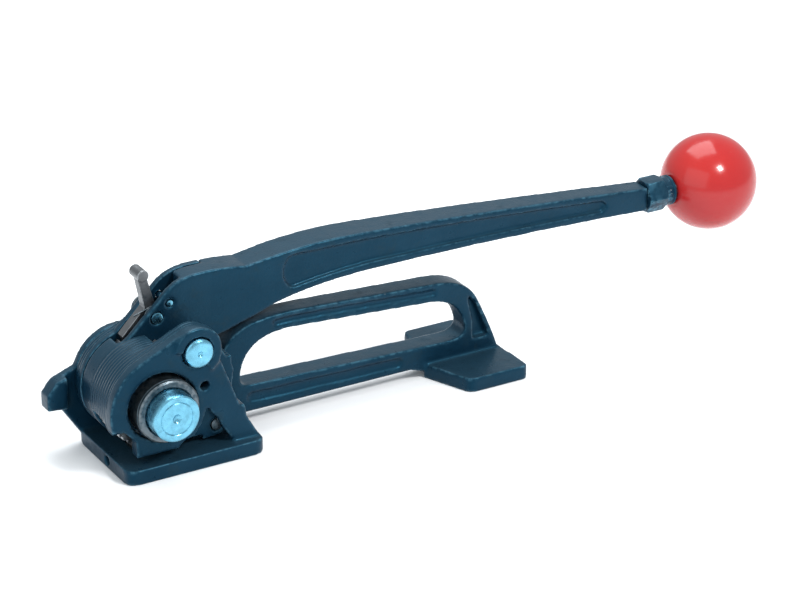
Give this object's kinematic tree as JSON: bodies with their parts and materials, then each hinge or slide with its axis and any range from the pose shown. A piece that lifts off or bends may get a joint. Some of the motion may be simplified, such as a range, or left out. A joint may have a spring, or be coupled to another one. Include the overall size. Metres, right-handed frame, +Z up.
{
  "type": "strapping tensioner",
  "caption": "Hand tensioner for steel strapping: ratchet lever with ball knob turns a feedwheel over a gripper in a two-footed base with a loop grip.",
  "frame": {"origin": "on the resting plane, straight below the main shaft's axis, on the underside of the front foot", "axes": "+X along the lever towards its knob, +Z up, -Y towards the side of the bright shaft end"},
  "size_m": [0.3155, 0.062, 0.0734],
  "materials": {
    "enamel": "gloss blue-black enamel on cast steel",
    "zinc": "bright zinc plate",
    "steel": "oiled hardened steel",
    "bronze": "sintered bronze",
    "red_plastic": "gloss moulded plastic"
  },
  "bodies": {
    "base_body": {"base_casting": "enamel", "gripper_plug": "steel", "gripper_screw": "steel", "near_pivot_bolt": "zinc", "far_pivot_bolt": "zinc", "base_spring_pin": "zinc", "housing_spring": "steel"},
    "housing_body": {"feedwheel_housing": "enamel", "near_shaft_bush": "steel", "far_shaft_bush": "bronze", "housing_spring_pin": "zinc", "holding_pawl_pin": "zinc", "holding_pawl_spacer": "steel"},
    "shaft_body": {"main_shaft": "zinc", "feedwheel": "steel", "ratchet_wheel": "steel", "feedwheel_key": "steel", "ratchet_key": "steel", "shaft_washer": "zinc", "shaft_nut": "zinc"},
    "lever_body": {"tension_lever": "enamel", "lever_cover_plate": "enamel", "cover_screw_1": "zinc", "cover_screw_2": "zinc", "lever_bush_near": "bronze", "lever_bush_far": "bronze", "drive_pawl_pin": "zinc", "spring_anchor_pin": "zinc", "drive_pawl_spring": "steel", "knob_stud": "zinc", "knob_collar": "enamel", "ball_knob": "red_plastic"},
    "drive_pawl_body": {"drive_pawl": "steel"},
    "holding_pawl_body": {"holding_pawl": "steel", "holding_pawl_spring": "steel"}
  },
  "joints": [
    {"name": "housing_lift", "type": "hinge", "parent": "base_body", "child": "housing_body", "pos_m": [0.014, 0, 0.047], "axis": [0, 1, 0], "range_deg": [0, 4], "stiffness_Nm_per_rad": 2, "springref_deg": -28.65},
    {"name": "shaft_turn", "type": "hinge", "parent": "housing_body", "child": "shaft_body", "pos_m": [0, 0, 0.027], "axis": [0, -1, 0], "continuous": true},
    {"name": "lever_swing", "type": "hinge", "parent": "housing_body", "child": "lever_body", "pos_m": [0, 0, 0.027], "axis": [0, -1, 0], "range_deg": [0, 105]},
    {"name": "drive_pawl_release", "type": "hinge", "parent": "lever_body", "child": "drive_pawl_body", "pos_m": [0.008, 0, 0.0535], "axis": [0, 1, 0], "range_deg": [0, 16], "stiffness_Nm_per_rad": 0.05, "springref_deg": -45.84},
    {"name": "holding_pawl_release", "type": "hinge", "parent": "housing_body", "child": "holding_pawl_body", "pos_m": [0.024, 0, 0.012], "axis": [0, 1, 0], "range_deg": [0, 10], "stiffness_Nm_per_rad": 0.05, "springref_deg": -45.84}
  ]
}
